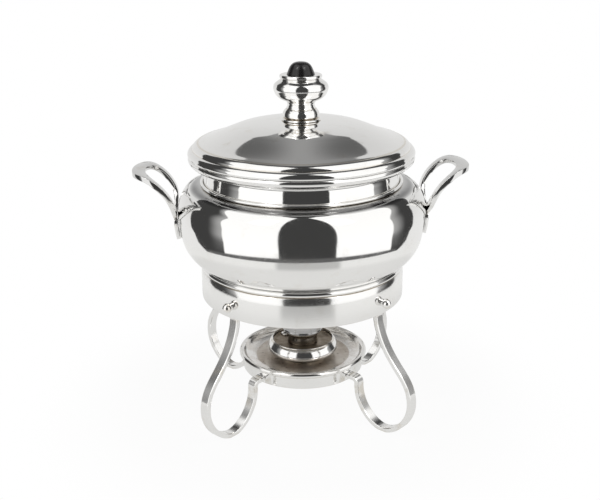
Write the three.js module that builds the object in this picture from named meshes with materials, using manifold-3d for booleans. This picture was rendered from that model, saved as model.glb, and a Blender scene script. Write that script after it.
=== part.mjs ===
// Lidded sauce boat on a four-legged warming stand with a spirit burner, in silver.
// Millimetres, +Z up. The origin is on the table, on the axis of the bowl and stand.
// The two loop handles lie along X, and the legs stand on the diagonals.
import * as THREE from "three";
import { mergeVertices } from "three/addons/utils/BufferGeometryUtils.js";
import Module from "manifold-3d";

const wasm = await Module();
wasm.setup();

// Stand, from the table up
const ringRadius = 33.2;        // ring that carries the tray
const ringBottom = 21.5;
const ringTall = 6.4;
const ringSheet = 0.9;
const bandInset = 10.2;         // band that carries the bowl, in from its widest line
const bandBottom = 65.6;
const bandTall = 16;
const bandSheet = 0.9;
const wireRadius = 1.25;        // wire that edges the band
const strapThick = 2.6;         // leg strap
const strapWide = 5.2;
const strapEdge = 0.35;         // its softened edges
const legSpread = 20.1;         // outermost line of the leg beyond the band
const swellHeight = 19.8;       // where it is outermost
const riserGap = 7;             // leg's inner riser out from the ring
const boltHeight = 6.4;         // above the band's bottom edge
const boltRadius = 0.85;
const ballRadius = 2.5;
const ballOut = 2.8;            // ball nut's middle beyond the band
const ballNeck = 1.6;

// Tray, burner and snuffer
const trayRoll = 1.45;          // rolled rim
const rollLift = 0.2;           // its underside above the ring's top
const trayDish = 0.7;           // floor below the ring's top
const traySheet = 0.9;
const burnerRadius = 19.4;
const burnerTall = 10;
const burnerFoot = 13.6;
const wellRadius = 16.7;
const wellDepth = 3.2;
const wickRadius = 2;
const tubeWall = 0.9;
const hubRadius = 8.4;          // chimney round the wick tube
const airRadius = 1.5;          // its air holes
const collarHeight = 13.5;      // collar under the cap, above the tray's floor
const capRadius = 10.4;
const capTall = 8;
const capWall = 0.9;
const thumbRadius = 2.9;

// Bowl, from its flat base
const sheet = 1.1;              // raised silver sheet of bowl and lid
const baseRadius = 27;
const beltRadius = 64.6;        // widest line
const bellyRise = 33;           // base to the widest line
const bellyPower = 3.1;
const shoulderRise = 16.9;      // widest line to the foot of the neck
const shoulderPower = 2.3;
const rimRadius = 59;
const rimFlare = 7.4;           // rim beyond the neck
const neckTall = 15;            // foot of the neck to the rim's top
const beadRadius = 0.7;

// Handles and their mounts
const handleReach = 22.8;       // beyond the widest line
const handleRise = 24;          // above it
const handleHalf = 16.8;        // middle of one arm from the handle's middle
const handleThick = 2.5;
const tailThick = 1.8;
const tailDrop = 12.8;          // tail's end below the widest line
const mountFace = 0.9;          // face of the mount above the bowl

// Lid and finial
const lidStep = 6.7;            // mouldings round the dome
const domeRise = 10.6;
const bezelDrop = 7.4;          // lid's inner ring below the rim
const footRadius = 10.3;
const knopRadius = 9.5;
const waistRadius = 7;
const bulbRadius = 14.1;
const bulbHeight = 16.7;        // bulb's widest line above the dome
const collarRadius = 10.9;
const buttonRadius = 6.9;
const buttonTall = 8.2;
const studRadius = 1.3;

// Clearances
const touch = 0.06;             // between pieces that rest on each other
const solder = 0.25;            // between soldered pieces
const fit = 0.3;                // round pins and in sockets
const inBand = 0.4;             // flat strap inside the round band

const round = 40;               // facets round the large turned pieces
const legAngles = { back_right: 45, back_left: 135, front_left: 225, front_right: 315 };

// Colours: bright silver, its worn and heated parts, black button, cotton
const silver = { color: 0xd9d7d1, roughness: 0.16, metalness: 1 };
const satin = { color: 0xa8a196, roughness: 0.38, metalness: 1 };
const heated = { color: 0x8c7f6e, roughness: 0.42, metalness: 1 };
const black = { color: 0x1b1a1c, roughness: 0.18, metalness: 0 };
const cotton = { color: 0xd8cdb4, roughness: 0.95, metalness: 0 };

// Places that follow from the sizes
const ringTop = ringBottom + ringTall;
const bandRadius = beltRadius - bandInset;
const legReach = bandRadius + legSpread;
const neckRadius = rimRadius - rimFlare;
const bandInner = bandRadius - bandSheet;
const bandTop = bandBottom + bandTall;
const wireMiddle = bandRadius - 1.1;
const wireHeight = bandTop + solder / 2 + wireRadius;
const strapFace = bandInner - inBand;
const neckFoot = bellyRise + shoulderRise;
const rimTop = neckFoot + neckTall;
const neckBore = neckRadius - 1.7;
const domeRadius = rimRadius - 5.54;
const domeTop = lidStep + domeRise;
const studHole = studRadius + fit;
const tubeRadius = wickRadius + fit + tubeWall;

const warmer = new THREE.Group();
const group = (height, parent = warmer) => {
  const made = new THREE.Group();
  made.position.z = height;
  parent.add(made);
  return made;
};

function add(name, geometry, look, parent) {
  const mesh = new THREE.Mesh(geometry, new THREE.MeshStandardMaterial(look));
  mesh.name = name;
  parent.add(mesh);
  return mesh;
}

// Shared vertices only, no flat triangles, faces turned outward.
function clean(source) {
  let geometry = source.clone();
  geometry.deleteAttribute("normal");
  geometry.deleteAttribute("uv");
  geometry.clearGroups();
  geometry = mergeVertices(geometry, 1e-4);
  const old = geometry.index.array;
  const kept = [];
  for (let i = 0; i < old.length; i += 3) {
    const [a, b, c] = [old[i], old[i + 1], old[i + 2]];
    if (a !== b && b !== c && c !== a) kept.push(a, b, c);
  }
  const place = geometry.attributes.position;
  const corner = [0, 1, 2].map(() => new THREE.Vector3());
  let volume = 0;
  for (let i = 0; i < kept.length; i += 3) {
    corner.forEach((v, k) => v.fromBufferAttribute(place, kept[i + k]));
    volume += corner[0].dot(corner[1].clone().cross(corner[2]));
  }
  if (volume < 0) kept.reverse();
  geometry.setIndex(kept);
  geometry.computeVertexNormals();
  return geometry;
}

function solidOf(geometry) {
  const g = clean(geometry);
  return new wasm.Manifold(new wasm.Mesh({
    numProp: 3,
    vertProperties: new Float32Array(g.attributes.position.array),
    triVerts: new Uint32Array(g.index.array),
  }));
}

function cut(geometry, tools) {
  let solid = solidOf(geometry);
  for (const tool of tools) solid = solid.subtract(solidOf(tool));
  const mesh = solid.getMesh();
  const g = new THREE.BufferGeometry();
  g.setAttribute("position", new THREE.BufferAttribute(new Float32Array(mesh.vertProperties), 3));
  g.setIndex(Array.from(mesh.triVerts));
  g.computeVertexNormals();
  return g;
}

// A closed surface from a grid of points that wraps round both ways.
function wrapped(rows) {
  const wide = rows[0].length;
  const index = [];
  rows.forEach((_, i) => {
    const next = (i + 1) % rows.length;
    for (let k = 0; k < wide; k++) {
      const m = (k + 1) % wide;
      const [a, b, c, d] = [i * wide + k, i * wide + m, next * wide + m, next * wide + k];
      index.push(a, b, c, a, c, d);
    }
  });
  const g = new THREE.BufferGeometry();
  g.setAttribute("position", new THREE.Float32BufferAttribute(rows.flat(2), 3));
  g.setIndex(index);
  return clean(g);
}

// A profile of [radius, height] pairs turned about Z, from axis to axis.
function turned(points, facets = round) {
  const lathe = new THREE.LatheGeometry(points.map(([r, z]) => new THREE.Vector2(r, z)), facets);
  return clean(lathe.rotateX(Math.PI / 2));
}

// The same, for a profile that closes on itself.
function turnedRing(points, facets = round) {
  return turned([...points, points[0]], facets);
}

function ringWire(radius, wire, height) {
  const sides = 5;
  const points = [];
  for (let i = 0; i < sides; i++) {
    const a = (i + 0.5) / sides * 2 * Math.PI;
    points.push([radius + wire * Math.cos(a), height + wire * Math.sin(a)]);
  }
  return turnedRing(points);
}

// A pin that points away from the axis, and an upright one.
function radialPin(radius, from, to, height, facets = 12) {
  const pin = new THREE.CylinderGeometry(radius, radius, to - from, facets);
  return pin.rotateZ(Math.PI / 2).translate((from + to) / 2, 0, height);
}

function uprightPin(radius, from, to, x = 0, y = 0, facets = 16) {
  const pin = new THREE.CylinderGeometry(radius, radius, to - from, facets);
  return pin.rotateX(Math.PI / 2).translate(x, y, (from + to) / 2);
}

// Outer radius of the bowl at a height above its base, up to the foot of the neck.
function bowlRadius(height) {
  if (height <= bellyRise) {
    const t = Math.min(1, (bellyRise - height) / bellyRise);
    return beltRadius * Math.pow(1 - Math.pow(t, bellyPower), 1 / bellyPower);
  }
  const t = Math.min(1, (height - bellyRise) / shoulderRise);
  const run = Math.pow(1 - Math.pow(t, shoulderPower), 1 / shoulderPower);
  return neckRadius + (beltRadius - neckRadius) * run;
}

// Height above the bowl's base at which a wire round it holds it up.
function wireOnBowl(radius, reach) {
  const clear = (height) => {
    for (let h = 0; h < bellyRise; h += 0.05) {
      if (Math.hypot(bowlRadius(h) - radius, h - height) < reach) return false;
    }
    return true;
  };
  let height = 0;
  while (clear(height)) height += 0.02;
  return height - 0.02;
}

function bellyCurve(steps, inset) {
  const start = Math.acos(Math.pow((baseRadius + 7) / beltRadius, bellyPower / 2));
  const points = [];
  for (let i = 0; i <= steps; i++) {
    const a = (1 - i / steps) * start;
    points.push([
      (beltRadius - inset) * Math.pow(Math.cos(a), 2 / bellyPower),
      bellyRise - (bellyRise - inset) * Math.pow(Math.sin(a), 2 / bellyPower),
    ]);
  }
  return points;
}

function shoulderCurve(steps, inset) {
  const points = [];
  for (let i = 1; i <= steps; i++) {
    const a = i / steps * Math.PI / 2;
    const run = Math.pow(Math.cos(a), 2 / shoulderPower);
    points.push([
      neckRadius - inset + (beltRadius - neckRadius) * run,
      bellyRise + (shoulderRise - inset) * Math.pow(Math.sin(a), 2 / shoulderPower),
    ]);
  }
  return points;
}

function buildBowl(bowl) {
  const outside = [
    [0, 0], [baseRadius, 0], ...bellyCurve(7, 0), ...shoulderCurve(6, 0),
    [neckRadius - 0.5, neckFoot + 3.1], [neckRadius + 0.2, rimTop - 6.8],
    [rimRadius - 4.8, rimTop - 5.1], [rimRadius - 1.9, rimTop - 4.1], [rimRadius - 0.35, rimTop - 2.8],
    [rimRadius, rimTop - 1.3], [rimRadius - 0.6, rimTop], [neckRadius + 2.6, rimTop],
  ];
  const inside = [
    [neckRadius + 0.7, rimTop - 3.3], [neckBore, rimTop - 6.5],
    ...shoulderCurve(3, sheet).reverse(), ...bellyCurve(4, sheet).reverse(),
    [baseRadius - 1, sheet + 0.1], [0, sheet + 0.1],
  ];
  add("bowl_shell", turned([...outside, ...inside]), silver, bowl);
  const beadMiddle = neckRadius - 0.1 + solder + beadRadius;
  add("neck_bead", ringWire(beadMiddle, beadRadius, neckFoot + beadRadius + solder), silver, bowl);
}

// Side view of a handle, from the tail's end up the mount and out to the loop's end.
function handleSide() {
  const onMount = (rise) => {
    const height = bellyRise + rise;
    return [bowlRadius(height) + mountFace + solder + tailThick / 2, height];
  };
  const onLoop = ([out, up]) => [beltRadius + handleReach * out, bellyRise + handleRise * up];
  const tail = [1, 0.75, 0.5, 0.25].map((share) => onMount(-tailDrop * share));
  const loop = [
    [0.094, 0.257], [0.114, 0.369], [0.166, 0.498], [0.265, 0.652], [0.403, 0.798],
    [0.58, 0.927], [0.745, 0.991], [1, 1],
  ].map(onLoop);
  const points = [...tail, onMount(0.4), onMount(2.6), ...loop];
  const path = points.map(([x, z]) => new THREE.Vector3(x, 0, z));
  return new THREE.CatmullRomCurve3(path, false, "centripetal");
}

// One arm over the side view: share of its length, distance from the middle, half width.
function armPath() {
  const points = [
    [0.045, 0, 2.0], [0.06, 0.12, 2.0], [0.1, 0.165, 2.05], [0.2, 0.165, 2.05], [0.27, 0.23, 2.05],
    [0.33, 0.5, 2.1], [0.39, 0.78, 2.15], [0.46, 0.93, 2.2], [0.56, 0.985, 2.25], [0.66, 1, 2.3],
    [0.76, 0.975, 2.45], [0.84, 0.87, 2.75], [0.905, 0.62, 3.05], [0.937, 0.32, 3.2], [0.945, 0, 3.25],
  ];
  const path = points.map(([share, out, half]) => new THREE.Vector3(share, handleHalf * out, half));
  return new THREE.CatmullRomCurve3(path, false, "centripetal");
}

function handleLoop() {
  const side = handleSide();
  const length = side.getLength();
  const arm = armPath();
  const stations = 17;
  const path = [];
  for (let i = 0; i <= stations; i++) path.push(arm.getPointAt(i / stations));
  const other = path.slice(1, -1).reverse().map((p) => new THREE.Vector3(p.x, -p.y, p.z));
  const loop = [...path, ...other];
  const section = [[-1, -0.6], [-0.8, -1], [0.8, -1], [1, -0.6], [1, 0.6], [0.8, 1], [-0.8, 1], [-1, 0.6]];
  const rows = loop.map((here, i) => {
    const before = loop[(i + loop.length - 1) % loop.length];
    const after = loop[(i + 1) % loop.length];
    const run = new THREE.Vector2((after.x - before.x) * length, after.y - before.y).normalize();
    return section.map(([across, lift]) => {
      const share = THREE.MathUtils.clamp(here.x + run.y * across * here.z / length, 0, 1);
      const at = side.getPointAt(share);
      const along = side.getTangentAt(share);
      const swell = THREE.MathUtils.smoothstep(share, 0.2, 0.45);
      const rise = lift * THREE.MathUtils.lerp(tailThick, handleThick, swell) / 2;
      return [at.x + along.z * rise, here.y - run.x * across * here.z, at.z - along.x * rise];
    });
  });
  return wrapped(rows);
}

// Winged mount over the shoulder: [angle, lower edge, upper edge] from the widest line, one half.
function mountWing() {
  const top = shoulderRise - 2.5;
  return [
    [0, 0.4 - tailDrop, top], [2.6, 0.5 - tailDrop, top - 0.1], [4.1, 1.3 - tailDrop, top - 0.4],
    [4.5, -1.8, top - 0.5], [7.5, -0.8, top - 1], [11, 0.7, top - 0.8], [15, 2.9, top - 0.2],
    [19, 5.5, top], [23, 8.4, top - 0.2], [27, 11.2, top - 0.5], [30, 12.8, top - 0.7],
    [31.6, 13.5, top - 1],
  ];
}

function handleMount() {
  const half = mountWing();
  const wing = [...half.slice(1).map(([angle, low, high]) => [-angle, low, high]).reverse(), ...half];
  const steps = 6;
  const face = (angle, height, offset) => {
    const slope = (bowlRadius(height + 0.05) - bowlRadius(height - 0.05)) / 0.1;
    const run = offset / Math.hypot(1, slope);
    const r = bowlRadius(height) + run;
    return [r * Math.cos(angle), r * Math.sin(angle), height - run * slope];
  };
  const positions = [];
  for (const [angle, low, high] of wing) {
    for (const offset of [solder, mountFace]) {
      for (let j = 0; j <= steps; j++) {
        const share = 1 - Math.pow(1 - j / steps, 1.35);
        const height = bellyRise + low + (high - low) * share;
        positions.push(...face(THREE.MathUtils.degToRad(angle), height, offset));
      }
    }
  }
  const tall = steps + 1;
  const ringAt = (i) => {
    const inner = Array.from({ length: tall }, (_, j) => i * 2 * tall + j);
    const outer = Array.from({ length: tall }, (_, j) => i * 2 * tall + 2 * tall - 1 - j);
    return [...inner, ...outer];
  };
  const index = [];
  for (let i = 0; i + 1 < wing.length; i++) {
    const [a, b] = [ringAt(i), ringAt(i + 1)];
    a.forEach((_, k) => {
      const m = (k + 1) % a.length;
      index.push(a[k], a[m], b[m], a[k], b[m], b[k]);
    });
  }
  for (const [i, turn] of [[0, false], [wing.length - 1, true]]) {
    const ends = ringAt(i);
    for (let j = 0; j < steps; j++) {
      const [a, b, c, d] = [ends[j], ends[2 * tall - 1 - j], ends[2 * tall - 2 - j], ends[j + 1]];
      index.push(...(turn ? [a, d, c, a, c, b] : [a, b, c, a, c, d]));
    }
  }
  const g = new THREE.BufferGeometry();
  g.setAttribute("position", new THREE.Float32BufferAttribute(positions, 3));
  g.setIndex(index);
  return clean(g);
}

function buildHandles(bowl) {
  for (const [side, turn] of [["right", 0], ["left", Math.PI]]) {
    add(`handle_${side}`, handleLoop(), silver, bowl).rotation.z = turn;
    add(`mount_${side}`, handleMount(), silver, bowl).rotation.z = turn;
  }
}

// Dome of the lid as shares of its radius and rise, from its crease to the middle.
const domeShares = [
  [1, 0], [0.982, 0.03], [0.935, 0.1], [0.86, 0.235], [0.748, 0.465], [0.674, 0.615], [0.599, 0.745],
  [0.449, 0.9], [0.299, 0.965], [0.2, 1],
];

function domeHeight(radius) {
  const inner = domeShares.findIndex(([share]) => share * domeRadius <= radius);
  const [[r0, z0], [r1, z1]] = [domeShares[inner - 1], domeShares[inner]];
  const t = (radius / domeRadius - r1) / (r0 - r1);
  return lidStep + domeRise * (z1 + (z0 - z1) * t);
}

function buildLid(lid) {
  const under = 1.15 * sheet;
  const dome = domeShares.map(([r, z]) => [domeRadius * r, lidStep + domeRise * z]);
  const outside = [
    [rimRadius - 1.8, touch], [rimRadius - 0.3, touch], [rimRadius + 0.05, 0.15 * lidStep],
    [rimRadius - 0.35, 0.33 * lidStep], [rimRadius - 1.1, 0.48 * lidStep],
    [rimRadius - 2.5, 0.56 * lidStep], [rimRadius - 2.6, 0.64 * lidStep],
    [rimRadius - 3.3, 0.78 * lidStep], [rimRadius - 4.3, 0.92 * lidStep],
    [rimRadius - 5.1, lidStep - 0.1], ...dome, [studHole, domeTop],
  ];
  const inside = [
    [studHole, domeTop - under], ...dome.slice(3).reverse().map(([r, z]) => [r - 0.3 * sheet, z - under]),
    [domeRadius - 3, lidStep - 0.6], [domeRadius - 0.6, lidStep - 1.2],
    [rimRadius - 4.6, 0.68 * lidStep], [rimRadius - 3.8, 0.36 * lidStep], [rimRadius - 1.8, 0.24 * lidStep],
  ];
  add("lid_shell", turnedRing([...outside, ...inside]), silver, lid);
  const bezel = neckBore - fit - 0.1;
  const top = domeHeight(bezel) - under - solder;
  add("lid_bezel", turnedRing([
    [bezel - 0.9, -bezelDrop], [bezel - 0.2, -bezelDrop], [bezel, 0.6 - bezelDrop],
    [bezel, top - 0.2], [bezel - 0.9, top],
  ]), silver, lid);
}

// Heights from the middle of the dome.
function buildFinial(finial) {
  const facets = 20;
  const footTall = 1.25;
  add("finial_foot", turnedRing([
    [studHole, touch], [footRadius - 0.4, touch], [footRadius, 0.4], [footRadius - 0.3, 0.95],
    [footRadius - 1.7, footTall], [studHole, footTall],
  ], facets), silver, finial);
  const seat = footTall + touch;
  const nutTall = 2.3;
  const washerTall = 0.7;
  const under = -1.15 * sheet - touch;
  const studEnd = under - washerTall - nutTall - 1.3;
  const stemTop = bulbHeight + bulbRadius / 3;
  const up = (share) => seat + share * (bulbHeight - seat);
  add("finial_stem", turned([
    [0, studEnd], [studRadius, studEnd], [studRadius, seat], [knopRadius - 1.1, seat],
    [knopRadius - 1.1, up(0.02)], [knopRadius - 0.2, up(0.05)], [knopRadius, up(0.1)],
    [knopRadius - 0.15, up(0.18)], [knopRadius - 0.9, up(0.26)], [waistRadius + 0.45, up(0.34)],
    [waistRadius, up(0.42)], [waistRadius + 0.35, up(0.53)], [bulbRadius - 5.4, up(0.59)],
    [bulbRadius - 3.5, up(0.64)], [bulbRadius - 1.4, up(0.75)], [bulbRadius - 0.35, up(0.88)],
    [bulbRadius, bulbHeight], [bulbRadius - 0.45, up(1.2)], [bulbRadius - 1.4, up(1.27)],
    [collarRadius + 0.6, stemTop], [0, stemTop],
  ], facets), silver, finial);
  const collar = stemTop + touch;
  add("finial_bezel", turnedRing([
    [buttonRadius + fit, collar], [collarRadius - 0.5, collar], [collarRadius, collar + 0.45],
    [collarRadius, collar + 1.55], [collarRadius - 0.4, collar + 1.95], [buttonRadius + fit, collar + 1.95],
  ], facets), silver, finial);
  const [wide, tall] = [buttonRadius, buttonTall];
  add("finial_button", turned([
    [0, collar], [wide, collar], [wide, collar + 0.13 * tall], [0.93 * wide, collar + 0.26 * tall],
    [0.85 * wide, collar + 0.44 * tall], [0.76 * wide, collar + 0.66 * tall],
    [0.62 * wide, collar + 0.84 * tall], [0.4 * wide, collar + 0.96 * tall], [0, collar + tall],
  ], facets), black, finial);
  add("finial_washer", turnedRing([
    [studHole, under - washerTall], [4.4, under - washerTall], [4.4, under], [studHole, under],
  ], 18), satin, finial);
  const nutTop = under - washerTall - touch;
  const nut = new THREE.CylinderGeometry(3.9, 3.9, nutTall, 6).rotateX(Math.PI / 2);
  nut.translate(0, 0, nutTop - nutTall / 2);
  add("finial_nut", cut(nut, [uprightPin(studHole, nutTop - 2 * nutTall, nutTop + 1)]), satin, finial);
}

function buildBand(stand) {
  const band = turnedRing([
    [bandInner, bandBottom], [bandRadius - 0.2, bandBottom], [bandRadius, bandBottom + 0.4],
    [bandRadius, bandTop - 3.4], [bandRadius - 0.2, bandTop - 1.2], [wireMiddle, bandTop],
    [bandInner - 1, bandTop - 0.8], [bandInner, bandTop - 3],
  ]);
  const holes = Object.values(legAngles).map((angle) => {
    const hole = radialPin(boltRadius + fit, bandInner - 2, bandRadius + 2, bandBottom + boltHeight);
    return hole.rotateZ(THREE.MathUtils.degToRad(angle));
  });
  add("stand_band", cut(band, holes), silver, stand);
  add("band_wire", ringWire(wireMiddle, wireRadius, wireHeight), silver, stand);
}

// Middle line of the leg strap in its upright plane, from inside the band to the ring.
function legLine() {
  const inside = strapFace - strapThick / 2;
  const riser = ringRadius + riserGap;
  const shelf = ringBottom + 0.46 * ringTall;
  const bend = strapThick;
  const drop = bandBottom - swellHeight;
  const sweep = [
    [0.98, 0], [0.888, 0.03], [0.732, 0.141], [0.612, 0.273], [0.509, 0.423],
    [0.41, 0.595], [0.318, 0.766], [0.219, 0.903], [0.11, 0.98],
  ].map(([up, out]) => [inside + (legReach - inside) * out, swellHeight + drop * up]);
  const [middle, half] = [(legReach + riser) / 2, (legReach - riser) / 2];
  const deep = swellHeight - strapThick / 2 + strapEdge;
  const foot = [];
  for (let i = 0; i <= 12; i++) {
    const a = i / 12 * Math.PI;
    const wide = Math.sign(Math.cos(a)) * Math.pow(Math.abs(Math.cos(a)), 1.11);
    foot.push([middle + half * wide, swellHeight - deep * Math.pow(Math.sin(a), 1.11)]);
  }
  const curve = new THREE.CatmullRomCurve3(
    [...sweep, ...foot].map(([r, z]) => new THREE.Vector3(r, z, 0)), false, "centripetal");
  const line = [[inside, bandBottom + 0.725 * bandTall], ...curve.getPoints(30).map((p) => [p.x, p.y])];
  for (let i = 0; i <= 3; i++) {
    const a = i / 3 * Math.PI / 2;
    line.push([riser - bend + bend * Math.cos(a), shelf - bend + bend * Math.sin(a)]);
  }
  line.push([ringRadius + strapEdge + solder / 2, shelf]);
  return line;
}

function legGeometry() {
  const line = legLine();
  const side = (sign) => line.map(([r, z], i) => {
    const [a, b] = [line[Math.max(0, i - 1)], line[Math.min(line.length - 1, i + 1)]];
    const length = Math.hypot(b[0] - a[0], b[1] - a[1]);
    const half = sign * (strapThick / 2 - strapEdge) / length;
    return new THREE.Vector2(r - (b[1] - a[1]) * half, Math.max(z + (b[0] - a[0]) * half, strapEdge));
  });
  const outline = new THREE.Shape([...side(1), ...side(-1).reverse()]);
  const strap = new THREE.ExtrudeGeometry(outline, {
    depth: strapWide - 2 * strapEdge,
    bevelEnabled: true,
    bevelThickness: strapEdge,
    bevelSize: strapEdge,
    bevelSegments: 1,
    curveSegments: 1,
  });
  strap.translate(0, 0, strapEdge - strapWide / 2).rotateX(Math.PI / 2);
  const height = bandBottom + boltHeight;
  return cut(strap, [radialPin(boltRadius + fit, strapFace - 2 * strapThick, bandRadius, height)]);
}

// Domed screw head inside the leg, with its shaft out to the ball nut.
function legBolt(end) {
  const face = strapFace - strapThick - touch;
  const bolt = turned([
    [0, face - 1.1], [1.4, face - 0.9], [2.1, face], [boltRadius, face], [boltRadius, end], [0, end],
  ], 12);
  return bolt.rotateY(Math.PI / 2).translate(0, 0, bandBottom + boltHeight);
}

// Ball on a short neck, with a blind hole for the bolt.
function ballNut(end) {
  const [face, bore] = [bandRadius + touch, boltRadius + fit];
  const middle = bandRadius + ballOut;
  const start = Math.asin(ballNeck / ballRadius);
  const ball = [];
  for (let i = 0; i <= 6; i++) {
    const a = start + i / 6 * (Math.PI - start);
    ball.push([ballRadius * Math.sin(a), middle - ballRadius * Math.cos(a)]);
  }
  ball[6] = [0, middle + ballRadius];
  const nut = turned([
    [0, end + fit], [bore, end + fit], [bore, face], [ballNeck + 0.3, face], [ballNeck + 0.3, face + 0.5],
    [ballNeck, face + 0.7], ...ball,
  ], 12);
  return nut.rotateY(Math.PI / 2).translate(0, 0, bandBottom + boltHeight);
}

function buildLegs(stand) {
  const boltEnd = bandRadius + ballOut;
  for (const [name, angle] of Object.entries(legAngles)) {
    const turn = THREE.MathUtils.degToRad(angle);
    add(`leg_${name}`, legGeometry(), silver, stand).rotation.z = turn;
    add(`bolt_${name}`, legBolt(boltEnd), satin, stand).rotation.z = turn;
    add(`ball_nut_${name}`, ballNut(boltEnd), silver, stand).rotation.z = turn;
  }
}

function buildTray(stand) {
  const facets = 36;
  const inner = ringRadius - ringSheet;
  add("burner_ring", turnedRing([
    [inner, ringBottom], [ringRadius - 0.3, ringBottom], [ringRadius, ringBottom + 0.3],
    [ringRadius, ringTop], [inner, ringTop],
  ], facets), silver, stand);
  const roll = ringTop + rollLift + trayRoll;
  const spigot = inner - fit;
  const rim = ringRadius + 0.6;
  const floor = ringTop - trayDish;
  const points = [];
  for (let i = 0; i <= 5; i++) {
    const a = -Math.PI / 2 + i / 5 * 1.2 * Math.PI;
    points.push([rim + trayRoll * Math.cos(a), roll + trayRoll * Math.sin(a)]);
  }
  add("drip_tray", turned([
    [0, floor - traySheet], [0.76 * rim, floor - traySheet], [spigot - traySheet, ringTop + 0.2],
    [spigot - traySheet, ringTop - 0.36 * ringTall], [spigot, ringTop - 0.36 * ringTall],
    [spigot, ringTop + touch], [ringRadius, ringTop + touch], ...points,
    [0.92 * rim, floor + 1.15], [0.83 * rim, floor + 0.2], [0.76 * rim, floor], [0, floor],
  ], facets), satin, stand);
}

// Heights from the underside of the burner's foot.
function buildBurner(burner) {
  const facets = 30;
  const wide = burnerRadius;
  const ledge = burnerTall - wellDepth;
  add("burner_body", turned([
    [0, 0], [burnerFoot, 0], [wide - 3.3, 0.05 * burnerTall], [wide - 1.4, 0.14 * burnerTall],
    [wide - 0.3, 0.26 * burnerTall], [wide, 0.39 * burnerTall], [wide - 0.2, 0.55 * burnerTall],
    [wide - 0.8, 0.73 * burnerTall], [wide - 1.6, 0.88 * burnerTall],
    [wellRadius + 0.4, burnerTall - 0.2], [wellRadius, burnerTall - 0.4],
    [wellRadius, ledge], [wellRadius - 1.2, ledge], [wellRadius - 1.2, ledge - 1.2],
    [burnerFoot - 0.4, 1.75], [0, 1.35],
  ], facets), silver, burner);
  const seat = ledge + touch;
  const plateTop = seat + 0.85;
  const [fillX, fillY] = [-0.36 * (wellRadius + hubRadius), 0.35 * (wellRadius + hubRadius)];
  const plate = turnedRing([
    [tubeRadius + fit, seat], [wellRadius - fit, seat], [wellRadius - fit, plateTop + 0.5],
    [wellRadius - fit - 1, plateTop], [tubeRadius + fit, plateTop],
  ], facets);
  add("burner_plate", cut(plate, [uprightPin(2.2, ledge - 2, ledge + 4, fillX, fillY)]), heated, burner);
  const lip = plateTop + touch;
  add("filler_ferrule", turnedRing([
    [1.3, seat - 1], [1.9, seat - 1], [1.9, lip], [2.7, lip], [2.6, lip + 0.7], [1.9, lip + 0.9],
    [1.3, lip + 0.6],
  ], 14).translate(fillX, fillY, 0), silver, burner);
  const tubeBore = wickRadius + fit;
  const tubeTop = collarHeight + 3;
  add("wick_tube", turnedRing([
    [tubeBore, ledge - 1.5], [tubeRadius, ledge - 1.5], [tubeRadius, tubeTop - 0.4],
    [tubeRadius - 0.3, tubeTop], [tubeBore, tubeTop],
  ], 18), satin, burner);
  const bore = tubeRadius + fit;
  const throat = 0.9 * hubRadius;
  const collar = turnedRing([
    [hubRadius - tubeWall, plateTop + touch], [hubRadius, plateTop + touch],
    [throat, collarHeight - 1], [capRadius - 1, collarHeight], [capRadius - 0.2, collarHeight + 0.4],
    [capRadius - 0.2, collarHeight + 0.9], [bore, collarHeight + 0.9], [bore, collarHeight],
    [throat - tubeWall, collarHeight - 1.4],
  ], 24);
  const holes = [234, 354, 114].map((angle) => {
    const hole = radialPin(airRadius, bore + 0.5, 2 * hubRadius, plateTop + 2 * airRadius);
    return hole.rotateZ(THREE.MathUtils.degToRad(angle));
  });
  add("wick_collar", cut(collar, holes), heated, burner);
  add("wick", turned([
    [0, ledge - 2.3], [wickRadius, ledge - 2.3], [wickRadius, tubeTop + 1.6],
    [0.7 * wickRadius, tubeTop + 2.4], [0, tubeTop + 2.6],
  ], 12), cotton, burner);
}

// Heights from the top of the collar that the cap rests on.
function buildSnuffer(snuffer) {
  const facets = 24;
  const bore = capRadius - capWall;
  add("snuffer_cap", turned([
    [bore, 0], [capRadius + 0.1, 0], [capRadius + 0.35, 0.6], [capRadius, 1.2],
    [capRadius, capTall - 1.6], [capRadius - 0.6, capTall - 0.5], [capRadius - 2.2, capTall],
    [0, capTall + 0.4], [0, capTall - capWall + 0.4], [capRadius - 2.4, capTall - capWall],
    [bore, capTall - capWall - 1], [bore, 0],
  ], facets), silver, snuffer);
  const thumb = new THREE.CylinderGeometry(thumbRadius, thumbRadius, 1.3, 18).rotateX(Math.PI / 2);
  thumb.translate(capRadius + thumbRadius - 0.2, 0, 1.9);
  const body = uprightPin(capRadius + solder / 2, -capTall, 2 * capTall, 0, 0, facets);
  add("snuffer_thumb", cut(thumb, [body.rotateZ(Math.PI / 2)]), silver, snuffer);
}

const stand = group(0);
buildBand(stand);
buildLegs(stand);
buildTray(stand);

const burner = group(ringTop - trayDish + touch, stand);
buildBurner(burner);
buildSnuffer(group(collarHeight + 0.9 + touch, burner));

const bowl = group(wireHeight - wireOnBowl(wireMiddle, wireRadius + touch));
buildBowl(bowl);
buildHandles(bowl);

const lid = group(rimTop, bowl);
buildLid(lid);
buildFinial(group(domeTop, lid));

export default warmer;
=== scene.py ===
import math

import bmesh
import bpy
from mathutils import Matrix, Vector


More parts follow.
